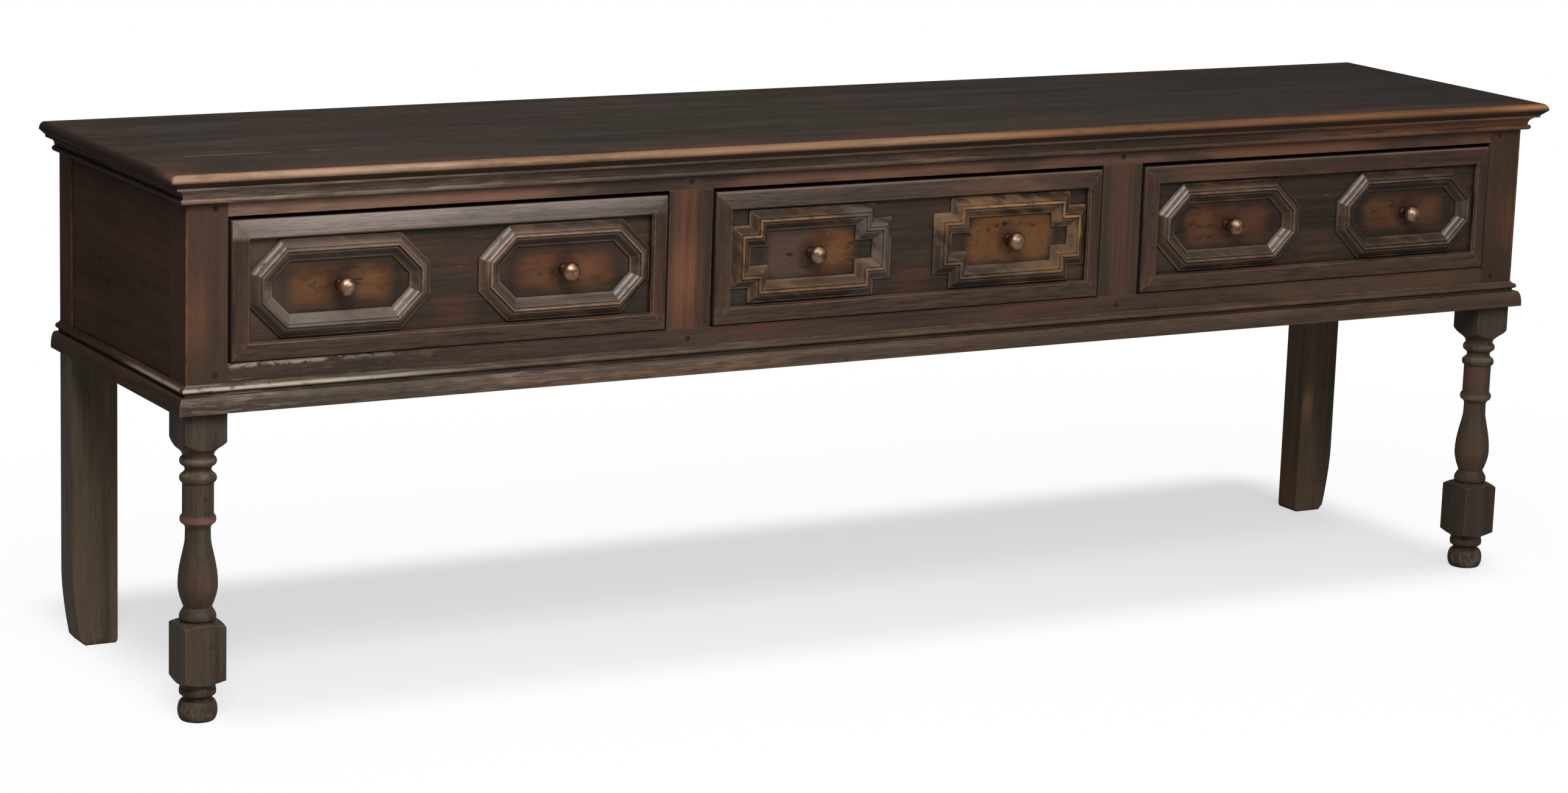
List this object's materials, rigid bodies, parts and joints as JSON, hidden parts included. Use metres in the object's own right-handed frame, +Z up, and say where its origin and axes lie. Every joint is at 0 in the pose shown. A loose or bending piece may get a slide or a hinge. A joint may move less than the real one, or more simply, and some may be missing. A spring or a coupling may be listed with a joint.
{
  "type": "dresser base",
  "caption": "Long low oak dresser base: pegged frame, moulded drawer fronts with turned knobs, turned front legs, plain rear posts and a moulded plank top.",
  "frame": {"origin": "on the floor, under the middle of the bounding box", "axes": "+X along the length towards the viewer's right, +Z up, the drawer fronts face -Y"},
  "size_m": [2.436, 0.544, 0.801],
  "materials": {
    "oak_top": "waxed, near-black brown, rubbed orange-brown along the front edge",
    "oak_frame": "waxed dark oak with a grey-green bloom and reddish worn streaks",
    "oak_leg": "waxed dark oak, greyer towards the floor, rubbed on the rings",
    "oak_end": "flat dark red-brown with horizontal grain",
    "oak_moulding": "waxed dark oak with rubbed pale arrises",
    "oak_front": "dark ground with warm red-brown worn patches round the knobs",
    "oak_applied": "waxed dark mouldings with pale rubbed ridges",
    "oak_peg": "dark oak end grain",
    "oak_inside": "dry unpolished oak",
    "knob_brass": "turned, darkened and hand-polished",
    "iron_nail": "dark wrought iron"
  },
  "bodies": {
    "carcass": {"top_front_board": "oak_top", "top_rear_board": "oak_top", "left_front_leg": "oak_leg", "right_front_leg": "oak_leg", "left_rear_leg": "oak_leg", "right_rear_leg": "oak_leg", "front_top_rail": "oak_frame", "front_bottom_rail": "oak_frame", "left_muntin": "oak_frame", "right_muntin": "oak_frame", "rear_top_rail": "oak_inside", "rear_bottom_rail": "oak_inside", "left_rear_muntin": "oak_inside", "right_rear_muntin": "oak_inside", "upper_back_board": "oak_inside", "lower_back_board": "oak_inside", "left_end_board": "oak_end", "right_end_board": "oak_end", "left_bearer": "oak_inside", "right_bearer": "oak_inside", "left_drawer_left_runner": "oak_inside", "left_drawer_right_runner": "oak_inside", "centre_drawer_left_runner": "oak_inside", "centre_drawer_right_runner": "oak_inside", "right_drawer_left_runner": "oak_inside", "right_drawer_right_runner": "oak_inside", "front_bed_moulding": "oak_moulding", "left_bed_moulding": "oak_moulding", "right_bed_moulding": "oak_moulding", "front_base_moulding": "oak_moulding", "left_base_moulding": "oak_moulding", "right_base_moulding": "oak_moulding", "frame_pegs": "oak_peg", "top_pegs": "oak_peg", "back_nails": "iron_nail"},
    "left_drawer": {"left_drawer_front": "oak_front", "left_drawer_left_side": "oak_inside", "left_drawer_right_side": "oak_inside", "left_drawer_back": "oak_inside", "left_drawer_bottom": "oak_inside", "left_drawer_border": "oak_applied", "left_drawer_octagons": "oak_applied", "left_drawer_knobs": "knob_brass"},
    "centre_drawer": {"centre_drawer_front": "oak_front", "centre_drawer_left_side": "oak_inside", "centre_drawer_right_side": "oak_inside", "centre_drawer_back": "oak_inside", "centre_drawer_bottom": "oak_inside", "centre_drawer_border": "oak_applied", "centre_drawer_eared_frames": "oak_applied", "centre_drawer_knobs": "knob_brass"},
    "right_drawer": {"right_drawer_front": "oak_front", "right_drawer_left_side": "oak_inside", "right_drawer_right_side": "oak_inside", "right_drawer_back": "oak_inside", "right_drawer_bottom": "oak_inside", "right_drawer_border": "oak_applied", "right_drawer_octagons": "oak_applied", "right_drawer_knobs": "knob_brass"}
  },
  "joints": [
    {"name": "left_drawer_slide", "type": "slide", "parent": "carcass", "child": "left_drawer", "axis": [0, -1, 0], "range_m": [0, 0.36]},
    {"name": "centre_drawer_slide", "type": "slide", "parent": "carcass", "child": "centre_drawer", "axis": [0, -1, 0], "range_m": [0, 0.36]},
    {"name": "right_drawer_slide", "type": "slide", "parent": "carcass", "child": "right_drawer", "axis": [0, -1, 0], "range_m": [0, 0.36]}
  ]
}
